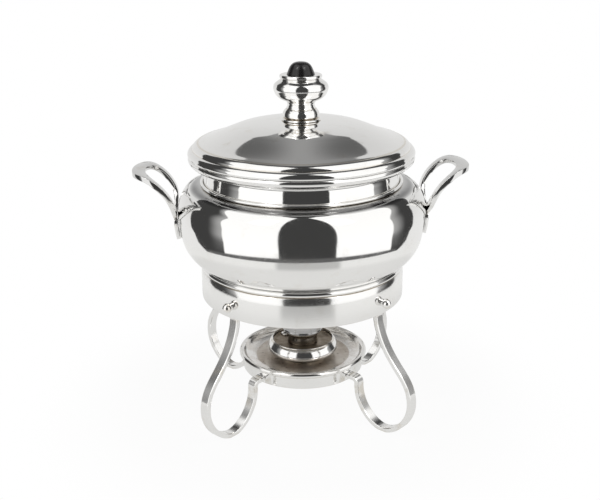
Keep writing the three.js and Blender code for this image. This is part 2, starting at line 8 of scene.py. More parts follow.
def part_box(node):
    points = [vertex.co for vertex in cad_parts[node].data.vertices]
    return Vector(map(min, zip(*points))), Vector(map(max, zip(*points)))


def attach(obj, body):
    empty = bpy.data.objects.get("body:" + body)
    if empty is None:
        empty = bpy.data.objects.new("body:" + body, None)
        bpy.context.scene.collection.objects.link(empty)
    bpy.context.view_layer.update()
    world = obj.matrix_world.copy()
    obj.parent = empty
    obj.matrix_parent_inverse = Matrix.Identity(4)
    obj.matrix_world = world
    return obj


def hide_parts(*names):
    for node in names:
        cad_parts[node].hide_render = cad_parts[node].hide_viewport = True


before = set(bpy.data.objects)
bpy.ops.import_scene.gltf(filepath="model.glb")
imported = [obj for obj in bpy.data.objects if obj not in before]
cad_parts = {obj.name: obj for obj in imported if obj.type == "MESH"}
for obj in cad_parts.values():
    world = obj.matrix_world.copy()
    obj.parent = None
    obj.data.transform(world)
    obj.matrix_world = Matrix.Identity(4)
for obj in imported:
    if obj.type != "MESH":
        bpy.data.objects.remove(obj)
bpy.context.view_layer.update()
mm = 0.001


# ---- shader writing
class Value:
    def __init__(self, maker, socket):
        self.maker = maker
        self.socket = socket

    def math(self, operation, *others):
        return self.maker.add("ShaderNodeMath", {"operation": operation}, [self, *others])

    def __add__(self, other):
        return self.math("ADD", other)

    def __sub__(self, other):
        return self.math("SUBTRACT", other)

    def __mul__(self, other):
        return self.math("MULTIPLY", other)

    def __rsub__(self, other):
        return self.maker.add("ShaderNodeMath", {"operation": "SUBTRACT"}, [other, self])

    __radd__ = __add__
    __rmul__ = __mul__

    def __neg__(self):
        return self * -1.0

    def __abs__(self):
        return self.math("ABSOLUTE")


class Maker:
    def __init__(self, tree):
        self.tree = tree
        tree.nodes.clear()

    def add(self, kind, settings=None, values=(), out=0):
        node = self.tree.nodes.new(kind)
        for key, value in (settings or {}).items():
            if key == "stops":
                ramp = node.color_ramp
                while len(ramp.elements) < len(value):
                    ramp.elements.new(0.5)
                for element, (place, colour) in zip(ramp.elements, value):
                    element.position = place
                    element.color = colour
            else:
                setattr(node, key, value)
        pairs = values.items() if isinstance(values, dict) else enumerate(values)
        for key, value in pairs:
            if isinstance(value, Value):
                self.tree.links.new(value.socket, node.inputs[key])
            elif value is not None:
                node.inputs[key].default_value = value
        return Value(self, node.outputs[out]) if node.outputs else None

    # 0 below low, 1 above high, smooth between
    def step(self, value, low, high):
        return self.add("ShaderNodeMapRange", {"interpolation_type": "SMOOTHSTEP"},
                        {"Value": value, "From Min": low, "From Max": high})

    # 1 below low, 0 above high, smooth between
    def fade(self, value, low, high):
        return 1.0 - self.step(value, low, high)

    # 1 at the middle, 0 at the given distance from it
    def near(self, value, middle, reach):
        return self.fade(abs(value - middle), 0.0, reach)

    # first where the share is 0, second where it is 1
    def over(self, first, second, share):
        return first * (1.0 - share) + share * second

    # over for colours
    def blend(self, share, first, second):
        return self.add("ShaderNodeMix", {"data_type": "RGBA"}, {0: share, 6: first, 7: second}, out=2)

    def noise(self, vector, scale, detail=3.0, rough=0.5):
        return self.add("ShaderNodeTexNoise", {"noise_dimensions": "3D"},
                        {"Vector": vector, "Scale": scale, "Detail": detail, "Roughness": rough})

    def scaled(self, vector, scale, turn=(0, 0, 0)):
        return self.add("ShaderNodeMapping", {"vector_type": "POINT"},
                        {"Vector": vector, "Rotation": turn, "Scale": scale})


def paint(name):
    material = bpy.data.materials.new(name)
    material.use_nodes = True
    return material, Maker(material.node_tree)


def rgb(red, green, blue):
    return (red, green, blue, 1.0)


def placeOf(make):
    vector = make.add("ShaderNodeTexCoord", out=3)
    parts = [make.add("ShaderNodeSeparateXYZ", {}, [vector], out=i) for i in range(3)]
    return vector, parts


# Joins a bump of the height, in units of the distance in metres, and the values to the material.
def coat(material, make, height, values, distance=1e-6):
    values["Normal"] = make.add("ShaderNodeBump", {}, {"Strength": 1.0, "Distance": distance, "Height": height})
    surface = make.add("ShaderNodeBsdfPrincipled", {}, values)
    make.add("ShaderNodeOutputMaterial", {}, {"Surface": surface})
    return material


silverLook = {
    "bright": rgb(0.935, 0.93, 0.92),
    "warm": rgb(0.78, 0.73, 0.65),
    "brown": rgb(0.2, 0.155, 0.115),
    # the dark grey that the bands of painted shade darken towards
    "paintedShade": rgb(0.1, 0.1, 0.105),
    "rough": 0.03,
    "cloud": 38.0, "patch": 90.0, "lathe": 5200.0, "waves": 55.0, "dents": 170.0,
    "hairs": (((0.3, 0.2, 0.5), (2600, 40, 2600)), ((1.1, 0.6, -0.4), (2100, 2100, 50)),
              ((0.2, 1.3, 0.9), (60, 2300, 2300))),
}


# Silver with lathe lines, hairline scratches, faint hand wobble, tarnish and bands of painted shade. All lengths are
# in millimetres:
# crevices and the bands of painted shade hold (height, reach, strength), brush holds (low, high, depth).
def silverPaint(name, crevices=(), rough=silverLook["rough"], lines=0.25, scratches=0.5, wobble=0.5, tarnish=0.12,
                seed=0.0, brush=None, paintedShades=()):
    look = silverLook
    material, make = paint(name)
    vector, (x, y, z) = placeOf(make)
    moved = make.add("ShaderNodeVectorMath", {"operation": "ADD"}, {0: vector, 1: (seed, seed * 0.7, 0.0)})
    radius = (x * x + y * y).math("SQRT")
    angle = y.math("ARCTAN2", x)
    cloud = make.noise(moved, look["cloud"], 4.0, 0.6)
    patch = make.step(make.noise(moved, look["patch"], 5.0, 0.65), 0.5, 0.72)
    turnedAt = make.add("ShaderNodeCombineXYZ", {}, [radius * look["lathe"], angle * 1.5, z * look["lathe"]])
    latheLines = make.noise(turnedAt, 1.0, 3.0, 0.7)
    hair = None
    for turn, size in look["hairs"]:
        thread = make.noise(make.scaled(moved, size, turn), 1.0, 1.0, 0.5)
        line = make.near(thread, 0.5, 0.012)
        hair = line if hair is None else hair.math("MAXIMUM", line)
    hair = hair * make.step(make.noise(moved, 140.0, 2.0), 0.42, 0.62)
    dirt = patch * tarnish
    for height, reach, amount in crevices:
        broken = make.noise(moved, 420.0, 4.0, 0.7) * 0.9 + 0.35
        dirt = dirt.math("MAXIMUM", make.near(z, height * mm, reach * mm) * broken * amount)
    dirt = dirt.math("MINIMUM", 1.0)
    colour = make.blend(make.step(dirt, 0.0, 0.45), look["bright"], look["warm"])
    colour = make.blend(make.step(dirt, 0.35, 1.0), colour, look["brown"])
    # Bands of painted shade: the colour is darkened towards dark grey around each height, unevenly.
    for height, reach, amount in paintedShades:
        paintedShade = make.near(z, height * mm, reach * mm).math("SQRT") * amount
        colour = make.blend(paintedShade * (0.75 + cloud * 0.4), colour, look["paintedShade"])
    roughness = rough + cloud * 0.03 + latheLines * (0.06 * lines) + hair * (0.16 * scratches) + dirt * 0.3
    waves = make.noise(moved, look["waves"], 2.0, 0.4)
    dents = make.noise(moved, look["dents"], 3.0, 0.5)
    relief = waves * (9.0 * wobble) + dents * (1.1 * wobble) + latheLines * (0.16 * lines) - hair * (0.25 * scratches)
    if brush:
        low, high, depth = brush
        grain = make.add("ShaderNodeCombineXYZ", {}, [0.0, angle * 9.0, z * 3600.0])
        zone = make.near(z, (low + high) / 2 * mm, (high - low) / 2 * mm)
        relief = relief + make.noise(grain, 1.0, 2.0, 0.6) * (zone * depth)
    return coat(material, make, relief, {"Base Color": colour, "Metallic": 1.0, "Roughness": roughness})


# Duller silver of the tray and small fittings, stained and rubbed.
# rim holds the radii in millimetres where it gets cleaner and where it is polished, and that part's roughness.
def satinPaint(name, colour, stain, rough=0.3, seed=0.0, rings=0.0, rim=None):
    material, make = paint(name)
    vector, (x, y, z) = placeOf(make)
    moved = make.add("ShaderNodeVectorMath", {"operation": "ADD"}, {0: vector, 1: (seed, 0.0, seed)})
    radius = (x * x + y * y).math("SQRT")
    blotch = make.step(make.noise(moved, 85.0, 6.0, 0.68), 0.36, 0.66)
    fine = make.noise(moved, 900.0, 4.0, 0.7)
    spots = make.step(make.noise(moved, 520.0, 2.0, 0.5), 0.62, 0.72)
    turnedAt = make.add("ShaderNodeCombineXYZ", {}, [radius * 3000.0, 0.0, z * 3000.0])
    latheLines = make.noise(turnedAt, 1.0, 4.0, 0.7)
    mix = blotch * 0.75 + fine * 0.25 + rings * latheLines
    tone = make.blend(mix.math("MINIMUM", 1.0), colour, stain)
    tone = make.blend(spots * 0.55, tone, rgb(0.16, 0.12, 0.09))
    roughness = rough + blotch * 0.14 + fine * 0.08 - latheLines * 0.05
    if rim:
        start, polish, shine = rim
        outer = make.step(radius, (start - 0.3) * mm, (start + 0.7) * mm)
        worn = make.step(make.noise(make.scaled(moved, (1, 1, 0.4)), 120.0, 5.0, 0.7), 0.36, 0.6)
        bright = make.step(radius, polish * mm, (polish + 0.8) * mm)
        clean = (outer * (1.0 - worn * 0.5)).math("MAXIMUM", bright * (1.0 - spots * 0.4))
        tone = make.blend(clean, tone, rgb(0.88, 0.87, 0.855))
        roughness = make.over(roughness, shine, clean)
    return coat(material, make, fine * 3.0 + latheLines * 2.0 + spots * 4.0, {
        "Base Color": tone, "Metallic": 1.0, "Roughness": roughness})


def buttonPaint(name):
    material, make = paint(name)
    vector = placeOf(make)[0]
    grain = make.noise(make.scaled(vector, (300, 300, 900)), 1.0, 5.0, 0.6)
    rub = make.step(make.noise(vector, 260.0, 4.0, 0.6), 0.5, 0.75)
    tone = make.blend(grain * 0.6, rgb(0.006, 0.006, 0.007), rgb(0.02, 0.018, 0.018))
    return coat(material, make, grain * 4.0 + rub * 3.0, {
        "Base Color": tone, "Metallic": 0.0, "Roughness": 0.2 + rub * 0.1 + grain * 0.05, "IOR": 1.5})


# Twisted cotton, singed at its top, a height in millimetres.
def wickPaint(name, top):
    material, make = paint(name)
    vector, (x, y, z) = placeOf(make)
    angle = y.math("ARCTAN2", x)
    twist = (angle * 5.0 + z * 3800.0).math("SINE")
    fibres = make.noise(make.scaled(vector, (3000, 3000, 900)), 1.0, 4.0, 0.7)
    singed = make.step(z, (top - 2.2) * mm, (top - 0.3) * mm)
    tone = make.blend(fibres, rgb(0.62, 0.55, 0.42), rgb(0.86, 0.8, 0.68))
    tone = make.blend(singed, tone, rgb(0.03, 0.025, 0.02))
    return coat(material, make, twist * 0.8 + fibres * 0.6, {"Base Color": tone, "Roughness": 0.95}, distance=1e-4)


# ---- outlines
# A smooth line through the points, with so many steps to a span.
def curved(points, steps=6):
    ends = [tuple(2 * a - b for a, b in zip(points[0], points[1]))]
    tail = [tuple(2 * a - b for a, b in zip(points[-1], points[-2]))]
    full = ends + [tuple(p) for p in points] + tail
    line = []
    for i in range(1, len(full) - 2):
        p = [Vector(q) for q in full[i - 1:i + 3]]
        knots = [0.0]
        for a, b in zip(p, p[1:]):
            knots.append(knots[-1] + max((b - a).length, 1e-9) ** 0.5)
        for k in range(steps):
            t = knots[1] + (knots[2] - knots[1]) * k / steps
            level = p
            for depth in range(1, 4):
                level = [
                    ((knots[j + depth] - t) * level[j] + (t - knots[j]) * level[j + 1])
                    / (knots[j + depth] - knots[j])
                    for j in range(len(level) - 1)
                ]
            line.append(tuple(level[0]))
    line.append(tuple(points[-1]))
    return line


# Corners given with a third number are rounded by about that much.
def softened(points, closed=False, steps=4):
    line = []
    count = len(points)
    for i, point in enumerate(points):
        soften = point[2] if len(point) > 2 else 0.0
        here = Vector(point[:2])
        if not soften or (not closed and i in (0, count - 1)):
            line.append(tuple(here))
            continue
        before = Vector(points[i - 1][:2]) - here
        after = Vector(points[(i + 1) % count][:2]) - here
        first = here + before.normalized() * min(soften, 0.45 * before.length)
        last = here + after.normalized() * min(soften, 0.45 * after.length)
        for k in range(steps + 1):
            t = k / steps
            line.append(tuple((1 - t) ** 2 * first + 2 * t * (1 - t) * here + t * t * last))
    return line


# ---- modelling
def selectAll():
    bpy.ops.mesh.select_all(action="SELECT")


def selectNone():
    bpy.ops.object.select_all(action="DESELECT")


def startPiece(name, point):
    selectNone()
    bpy.ops.mesh.primitive_plane_add(size=mm)
    piece = bpy.context.object
    piece.name = name
    bpy.ops.object.mode_set(mode="EDIT")
    selectAll()
    bpy.ops.mesh.merge(type="CENTER")
    bpy.ops.transform.translate(value=point)
    return piece


# Enters edit mode if need be and merges the vertices that lie closer than the distance.
def mergeClose(distance):
    bpy.ops.object.mode_set(mode="EDIT")
    selectAll()
    bpy.ops.mesh.remove_doubles(threshold=distance * mm)


# Draws a line of edges in millimetres, as points of x, y, z.
def drawLine(name, points, closed=False):
    places = [Vector(p) * mm for p in points]
    piece = startPiece(name, places[0])
    stops = places + [places[0]] if closed else places
    for a, b in zip(stops, stops[1:]):
        bpy.ops.mesh.extrude_region_move(TRANSFORM_OT_translate={"value": b - a})
    mergeClose(0.0001)
    selectAll()
    return piece


def leaveEdit():
    mergeClose(0.0002)
    bpy.ops.mesh.delete_loose(use_verts=True, use_edges=True, use_faces=False)
    selectAll()
    bpy.ops.mesh.normals_make_consistent(inside=False)
    bpy.ops.object.mode_set(mode="OBJECT")


# Selects the vertices of the piece in edit mode whose place passes the test.
def pickVerts(piece, test):
    bpy.ops.mesh.select_mode(type="VERT")
    bpy.ops.mesh.select_all(action="DESELECT")
    shape = bmesh.from_edit_mesh(piece.data)
    for vert in shape.verts:
        vert.select = test(vert.co)
    shape.select_flush(True)
    bmesh.update_edit_mesh(piece.data)


def applyAll(piece):
    selectNone()
    piece.select_set(True)
    bpy.context.view_layer.objects.active = piece
    for modifier in list(piece.modifiers):
        bpy.ops.object.modifier_apply(modifier=modifier.name)


def finishPiece(piece, nodes, body, material, angle=35):
    applyAll(piece)
    bpy.ops.object.transform_apply(location=True, rotation=True, scale=True)
    bpy.ops.object.shade_smooth_by_angle(angle=math.radians(angle))
    piece.data.materials.clear()
    piece.data.materials.append(material)
    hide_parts(*nodes)
    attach(piece, body)


# Turns a profile of radius and height, in millimetres, about the axis.
def turnPiece(name, profile, steps, closed=False, lift=0.0, at=(0.0, 0.0)):
    piece = drawLine(name, [(r, 0, z + lift) for r, z in profile], closed)
    bpy.ops.mesh.spin(steps=steps, angle=2 * math.pi, center=(0, 0, 0), axis=(0, 0, 1))
    leaveEdit()
    if at != (0.0, 0.0):
        piece.location = (at[0] * mm, at[1] * mm, 0)
    return piece


# A turned ring whose section is given by its corners, softened where they say so.
def turnRing(name, corners, steps, lift=0.0, at=(0.0, 0.0)):
    return turnPiece(name, softened(corners, closed=True), steps, closed=True, lift=lift, at=at)


# Cuts the other piece out of this one, or keeps only what both share.
def cutBy(piece, other, operation="DIFFERENCE"):
    cut = piece.modifiers.new("cut", "BOOLEAN")
    cut.operation = operation
    cut.solver = "EXACT"
    cut.object = other
    applyAll(piece)
    bpy.data.objects.remove(other)


def roundEdges(piece, width, angle, segments=2, clamp=True):
    bevel = piece.modifiers.new("edges", "BEVEL")
    bevel.width = width * mm
    bevel.segments = segments
    bevel.use_clamp_overlap = clamp
    bevel.limit_method = "ANGLE"
    bevel.angle_limit = math.radians(angle)
    applyAll(piece)


# A cylinder, in millimetres, that stands upright or, with a turn in radians, points outwards.
def makeRod(name, radius, depth, place, vertices=32, turn=None):
    selectNone()
    bpy.ops.mesh.primitive_cylinder_add(
        vertices=vertices, radius=radius * mm, depth=depth * mm, location=[v * mm for v in place],
        rotation=(0, 0, 0) if turn is None else (0, math.pi / 2, turn))
    rod = bpy.context.object
    rod.name = name
    return rod


# Height of the lowest point of a CAD node, in millimetres.
def baseOf(node):
    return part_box(node)[0].z / mm


print("materials and tools ready")

# ---- bowl
bowl = {
    "base": 27.0, "belt": 64.6, "bellyRise": 33.0, "bellyPower": 3.1,
    "shoulderRise": 16.9, "shoulderPower": 2.3, "neck": 51.6, "neckTall": 15.0,
    "rim": 59.0, "sheet": 1.1, "bead": 0.7, "steps": 168,
}
belt, neck, rim, bead = bowl["belt"], bowl["neck"], bowl["rim"], bowl["bead"]
bellyRise, bellyPower = bowl["bellyRise"], bowl["bellyPower"]
shoulderRise, shoulderPower = bowl["shoulderRise"], bowl["shoulderPower"]


# Radius of the outer skin at a height above the bowl's base.
def bowlRadius(height):
    if height <= bellyRise:
        t = min(1.0, (bellyRise - height) / bellyRise)
        return belt * (1 - t ** bellyPower) ** (1 / bellyPower)
    t = min(1.0, (height - bellyRise) / shoulderRise)
    return neck + (belt - neck) * (1 - t ** shoulderPower) ** (1 / shoulderPower)


def bellyLine(count, inset):
    start = math.acos(((bowl["base"] + 7) / belt) ** (bellyPower / 2))
    angles = [(1 - i / count) * start for i in range(count + 1)]
    return [((belt - inset) * math.cos(a) ** (2 / bellyPower),
             bellyRise - (bellyRise - inset) * math.sin(a) ** (2 / bellyPower)) for a in angles]


def shoulderLine(count, inset):
    angles = [i / count * math.pi / 2 for i in range(1, count + 1)]
    return [(neck - inset + (belt - neck) * max(0.0, math.cos(a)) ** (2 / shoulderPower),
             bellyRise + (shoulderRise - inset) * math.sin(a) ** (2 / shoulderPower)) for a in angles]


bowlBase = baseOf("bowl_shell")
neckFoot = bellyRise + shoulderRise
rimTop = neckFoot + bowl["neckTall"]
outside = [(0, 0)] + softened([(10, 0), (bowl["base"] + 1, 0, 4), (bowl["base"] + 7, 1.5)])[1:-1]
outside += bellyLine(34, 0) + shoulderLine(30, 0)
outside += curved([
    (neck - 0.1, neckFoot + 0.5), (neck - 0.3, neckFoot + 3.1), (neck - 0.42, neckFoot + 5.8),
    (neck - 0.42, rimTop - 6.3), (neck + 0.1, rimTop - 5.4), (rim - 4.8, rimTop - 4.9), (rim - 2.0, rimTop - 4.25),
    (rim - 0.45, rimTop - 2.8), (rim, rimTop - 1.4), (rim - 0.5, rimTop - 0.3), (rim - 1.5, rimTop)], 6)
outside += [(neck + 3.2, rimTop), (neck + 2.6, rimTop - 0.2)]
inside = curved([(neck + 0.7, rimTop - 3.3), (neck - 1.2, rimTop - 4.9), (neck - 1.65, rimTop - 7.0),
                 (neck - 1.6, neckFoot + 1.5)], 5)
inside += list(reversed(shoulderLine(16, bowl["sheet"]))) + list(reversed(bellyLine(18, bowl["sheet"])))
inside += [(bowl["base"] - 1, bowl["sheet"] + 0.1), (0, bowl["sheet"] + 0.1)]
shell = turnPiece("bowlShell", outside + inside, bowl["steps"], lift=bowlBase)
beadMiddle = (neck - 0.1 + 0.25 + bead, neckFoot + bead + 0.25)
beadAt = bowlBase + beadMiddle[1]
# The bowl gets a narrow band of painted shade just below its neck.
bowlSilver = silverPaint("bowlSilver", [(beadAt, 1.3, 0.42)], wobble=0.45,
                         paintedShades=[(bowlBase + neckFoot - 0.9, 1.4, 0.85)])
finishPiece(shell, ["bowl_shell"], "bowl", bowlSilver)


# The round section of a wire ring.
def ringLine(radius, wire, height, count=20):
    return [(radius + wire * math.cos(2 * math.pi * i / count), height + wire * math.sin(2 * math.pi * i / count))
            for i in range(count)]


neckBead = turnPiece("neckBead", ringLine(beadMiddle[0], bead + 0.12, beadMiddle[1], 16), bowl["steps"], closed=True,
                     lift=bowlBase)
beadSilver = silverPaint("beadSilver", [(beadAt - 0.6, 0.6, 0.5)], seed=0.3)
finishPiece(neckBead, ["neck_bead"], "bowl", beadSilver)
print("bowl made")

# ---- handles
handle = {
    "reach": 22.8, "rise": 24.0, "half": 16.8, "thick": 2.5, "tailThick": 1.8, "tailDrop": 12.8,
    "mountFace": 0.9, "seat": 0.25, "edge": 1.0, "thinning": ((0.44, 0.25), (0.38, 0.35), (0.32, 0.3), (0.26, 0.1)),
}


# Closes a half outline by its mirror image across the middle line.
def mirrored(half):
    return half + [(along, -away) for along, away in reversed(half[1:-1])]


# Lifts a piece that was made on the right to the bowl's height, and turns it to its side.
def atSide(piece, side):
    piece.location = (0, 0, bowlBase * mm)
    if side < 0:
        piece.rotation_euler = (0, 0, math.pi)
    return piece


# The handle seen from the side, as radii and heights: its tail on the mount, then the free loop.
def handleSide():
    def onMount(rise):
        height = bellyRise + rise
        return (bowlRadius(height) + handle["mountFace"] + handle["seat"] + handle["tailThick"] / 2, height)
    tail = [onMount(-handle["tailDrop"] * share) for share in (1, 0.75, 0.5, 0.25)] + [onMount(0.4), onMount(2.6)]
    loop = [(0.094, 0.257), (0.114, 0.369), (0.166, 0.498), (0.265, 0.652), (0.403, 0.798),
            (0.58, 0.927), (0.745, 0.991), (1, 1)]
    loop = [(belt + handle["reach"] * out, bellyRise + handle["rise"] * up) for out, up in loop]
    return curved(tail + loop, 8)


sideLine = handleSide()
handleLong = sum((Vector(b) - Vector(a)).length for a, b in zip(sideLine, sideLine[1:]))


# Halves of the handle's flat outline: length along it and distance from its middle, outer and inner edge.
def handleOutline():
    path = [
        (0.262, 0.12, 2.0), (0.285, 0.28, 2.05), (0.33, 0.5, 2.1), (0.39, 0.78, 2.15), (0.46, 0.93, 2.2),
        (0.56, 0.985, 2.25), (0.66, 1, 2.3), (0.76, 0.975, 2.45), (0.84, 0.87, 2.75), (0.905, 0.62, 3.05),
        (0.937, 0.32, 3.2), (0.945, 0, 3.25)]
    middle = curved([(s * handleLong, y * handle["half"], w) for s, y, w in path], 5)
    outer, inner = [], []
    for i, here in enumerate(middle):
        a, b = middle[max(0, i - 1)], middle[min(len(middle) - 1, i + 1)]
        run = Vector((b[0] - a[0], b[1] - a[1])).normalized()
        outer.append((here[0] - run.y * here[2], here[1] + run.x * here[2]))
        inner.append((here[0] + run.y * here[2], max(0.0, here[1] - run.x * here[2])))
    outer[-1] = (outer[-1][0], 0.0)
    inner[-1] = (inner[-1][0], 0.0)
    inner[0] = (inner[0][0], 0.0)
    tail = curved([(0.0, 3.4), (0.12 * handleLong, 4.1), (0.22 * handleLong, 4.25), outer[0]], 6)
    return [(0.0, 0.0), (0.0, 1.7)] + tail[:-1] + outer, inner


# Bends the flat handle along its side line.
def bendHandle(piece):
    selectNone()
    bpy.ops.curve.primitive_bezier_curve_add()
    guide = bpy.context.object
    guide.name = "bendGuide"
    guide.data.dimensions = "2D"
    guide.data.splines.clear()
    spline = guide.data.splines.new("POLY")
    spline.points.add(len(sideLine) - 1)
    for point, (r, z) in zip(spline.points, sideLine):
        point.co = (r * mm, z * mm, 0, 1)
    bend = piece.modifiers.new("bend", "CURVE")
    bend.object = guide
    bend.deform_axis = "POS_X"
    applyAll(piece)
    bpy.data.objects.remove(guide)


def makeHandle(name, side):
    outerHalf, innerHalf = handleOutline()
    piece = drawLine(name, [(s, 0, y) for s, y in mirrored(outerHalf)], closed=True)
    bpy.ops.object.mode_set(mode="OBJECT")
    hole = drawLine("handleHole", [(s, 0, y) for s, y in mirrored(innerHalf)], closed=True)
    bpy.ops.object.mode_set(mode="OBJECT")
    piece.select_set(True)
    hole.select_set(True)
    bpy.context.view_layer.objects.active = piece
    bpy.ops.object.join()
    bpy.ops.object.mode_set(mode="EDIT")
    selectAll()
    bpy.ops.mesh.fill(use_beauty=True)
    selectAll()
    bpy.ops.mesh.tris_convert_to_quads()
    bpy.ops.mesh.extrude_region_move(TRANSFORM_OT_translate={"value": (0, handle["thick"] * mm, 0)})
    selectAll()
    bpy.ops.transform.translate(value=(0, -handle["thick"] / 2 * mm, 0))
    thin = handle["tailThick"] / handle["thick"]
    for upTo, share in handle["thinning"]:
        pickVerts(piece, lambda place: place.x < upTo * handleLong * mm)
        bpy.ops.transform.resize(value=(1, 1 - share * (1 - thin), 1), center_override=(0, 0, 0))
    leaveEdit()
    roundEdges(piece, handle["edge"], 50)
    bendHandle(piece)
    piece.rotation_euler = (math.pi / 2, 0, 0)
    bpy.ops.object.transform_apply(location=True, rotation=True, scale=True)
    return atSide(piece, side)


for side, word in ((1, "right"), (-1, "left")):
    arm = makeHandle(f"handle{word.capitalize()}", side)
    # Painted shade greys the tops of the handle loops.
    armSilver = silverPaint(f"handleSilver{word.capitalize()}", [(bowlBase + 33.5, 3.0, 0.3)],
                            lines=0.0, wobble=0.9, tarnish=0.3, seed=1.0 + side, paintedShades=[(bowlBase + 57, 9, 0.3)])
    finishPiece(arm, [f"handle_{word}"], "bowl", armSilver, angle=50)
print("handles made")

# ---- mounts
mount = {"face": 0.9, "seat": 0.12, "edge": 0.2, "rows": 40, "steps": 64, "span": 80, "cutFrom": 40,
         "cutThrough": 60, "merge": 0.14, "crumbs": 0.01}


# Half of the plate, as heights and distances from its middle.
def mountOutline():
    top = shoulderRise - 2.5
    drop = handle["tailDrop"]
    upper = curved([(0, top), (4.1, top - 0.35), (7.5, top - 1.0), (11, top - 0.85), (15, top - 0.25),
                    (19, top), (23, top - 0.15), (27, top - 0.5), (31.8, top - 1.3)], 5)
    lower = curved([(31.8, top - 1.3), (27, 11.2), (23, 8.4), (19, 5.5), (15, 2.9), (11, 0.7), (7.5, -0.8),
                    (4.6, -1.8)], 5)
    tail = [(4.4, -2.6), (4.2, 1.2 - drop), (2.9, 0.55 - drop), (0, 0.4 - drop)]
    points = []
    for angle, rise in upper[:-1] + lower[:-1] + tail:
        height = bellyRise + rise
        points.append((height, (bowlRadius(height) + mount["face"]) * math.sin(math.radians(angle))))
    return points


# A sheet that follows the bowl is turned, then trimmed to the outline.
def makeMount(name, side):
    low, high = bellyRise - handle["tailDrop"] - 2, neckFoot - 0.6
    rows = mount["rows"]
    heights = [low + (high - low) * (1 - (1 - i / rows) ** 1.6) for i in range(rows + 1)]

    def skin(offset):
        line = []
        for h in heights:
            slope = (bowlRadius(h + 0.05) - bowlRadius(h - 0.05)) / 0.1
            run = offset / math.hypot(1, slope)
            line.append((bowlRadius(h) + run, h - run * slope))
        return line
    profile = skin(mount["seat"]) + list(reversed(skin(mount["face"])))
    span = math.radians(mount["span"])
    piece = drawLine(name, [(r * math.cos(span / 2), r * math.sin(span / 2), z) for r, z in profile], closed=True)
    bpy.ops.mesh.edge_face_add()
    bpy.ops.mesh.spin(steps=mount["steps"], angle=span, center=(0, 0, 0), axis=(0, 0, 1))
    leaveEdit()
    outline = [(mount["cutFrom"], y, z) for z, y in mirrored(mountOutline())]
    cutter = drawLine("mountCutter", outline, closed=True)
    bpy.ops.mesh.edge_face_add()
    bpy.ops.mesh.extrude_region_move(TRANSFORM_OT_translate={"value": (mount["cutThrough"] * mm, 0, 0)})
    leaveEdit()
    cutBy(piece, cutter, "INTERSECT")
    mergeClose(mount["merge"])
    bpy.ops.object.mode_set(mode="OBJECT")
    roundEdges(piece, mount["edge"], 45, clamp=False)
    mergeClose(mount["crumbs"])
    leaveEdit()
    return atSide(piece, side)


for side, word in ((1, "right"), (-1, "left")):
    leaf = makeMount(f"mount{word.capitalize()}", side)
    leafSilver = silverPaint(f"mountSilver{word.capitalize()}", [(bowlBase + 20.5, 1.2, 0.4)],
                             lines=0.0, wobble=0.8, seed=2.0 + side)
    finishPiece(leaf, [f"mount_{word}"], "bowl", leafSilver, angle=40)
print("mounts made")

# ---- lid
lid = {"step": 6.7, "rise": 10.6, "domeInset": 5.54, "drop": 7.4, "steps": 168}
lidBase = bowlBase + rimTop
domeEdge = rim - lid["domeInset"]
domeTop = lid["step"] + lid["rise"]
domeLine = [(53.46, 6.7), (52.7, 6.98), (50.0, 7.75), (46.0, 9.25), (40.0, 11.75), (36.0, 13.35), (32.0, 14.75),
            (24.0, 16.35), (16.0, 17.05), (10.7, 17.28), (1.6, domeTop)]
lidOut = softened([(rim - 1.8, 0.06), (rim - 0.25, 0.06, 0.3), (rim + 0.1, 0.7, 0.4)])[:-1]
lidOut += curved([(rim + 0.1, 0.95), (rim, 1.6), (rim - 0.4, 2.4), (rim - 1.2, 3.2), (rim - 2.4, 3.75)], 5)
lidOut += curved([(rim - 2.48, 4.15), (rim - 2.7, 4.75), (rim - 3.3, 5.5), (rim - 4.2, 6.2), (rim - 5.1, 6.62)], 5)
lidOut += curved(domeLine, 7)
lidIn = [(1.6, domeTop - 1.26)] + curved([(r - 0.33, z - 1.26) for r, z in reversed(domeLine[3:-1])], 5)
lidIn += softened([(domeEdge - 3, 6.1), (domeEdge - 0.6, 5.5, 0.3), (rim - 4.6, 4.5, 0.4), (rim - 3.8, 2.4, 0.4),
                   (rim - 1.8, 1.6, 0.3), (rim - 1.8, 0.06)])
lidShell = turnPiece("lidShell", lidOut + lidIn[:-1], lid["steps"], closed=True, lift=lidBase)
lidSilver = silverPaint("lidSilver", [(lidBase + 3.95, 0.5, 0.4), (lidBase + 6.68, 0.35, 0.4)],
                        wobble=0.5, lines=0.3, tarnish=0.2, seed=3.0)
finishPiece(lidShell, ["lid_shell"], "lid", lidSilver)
bezelOut = neck - 1.7 - 0.4
bezel = turnRing("lidBezel", [
    (bezelOut - 0.9, -lid["drop"], 0.2), (bezelOut - 0.2, -lid["drop"], 0.3), (bezelOut, 0.6 - lid["drop"], 0.3),
    (bezelOut, 6.15), (bezelOut - 0.9, 6.35)], 120, lidBase)
bezelSilver = silverPaint("bezelSilver", rough=0.14, tarnish=0.5, lines=0.6, seed=4.0)
finishPiece(bezel, ["lid_bezel"], "lid", bezelSilver)
print("lid made")

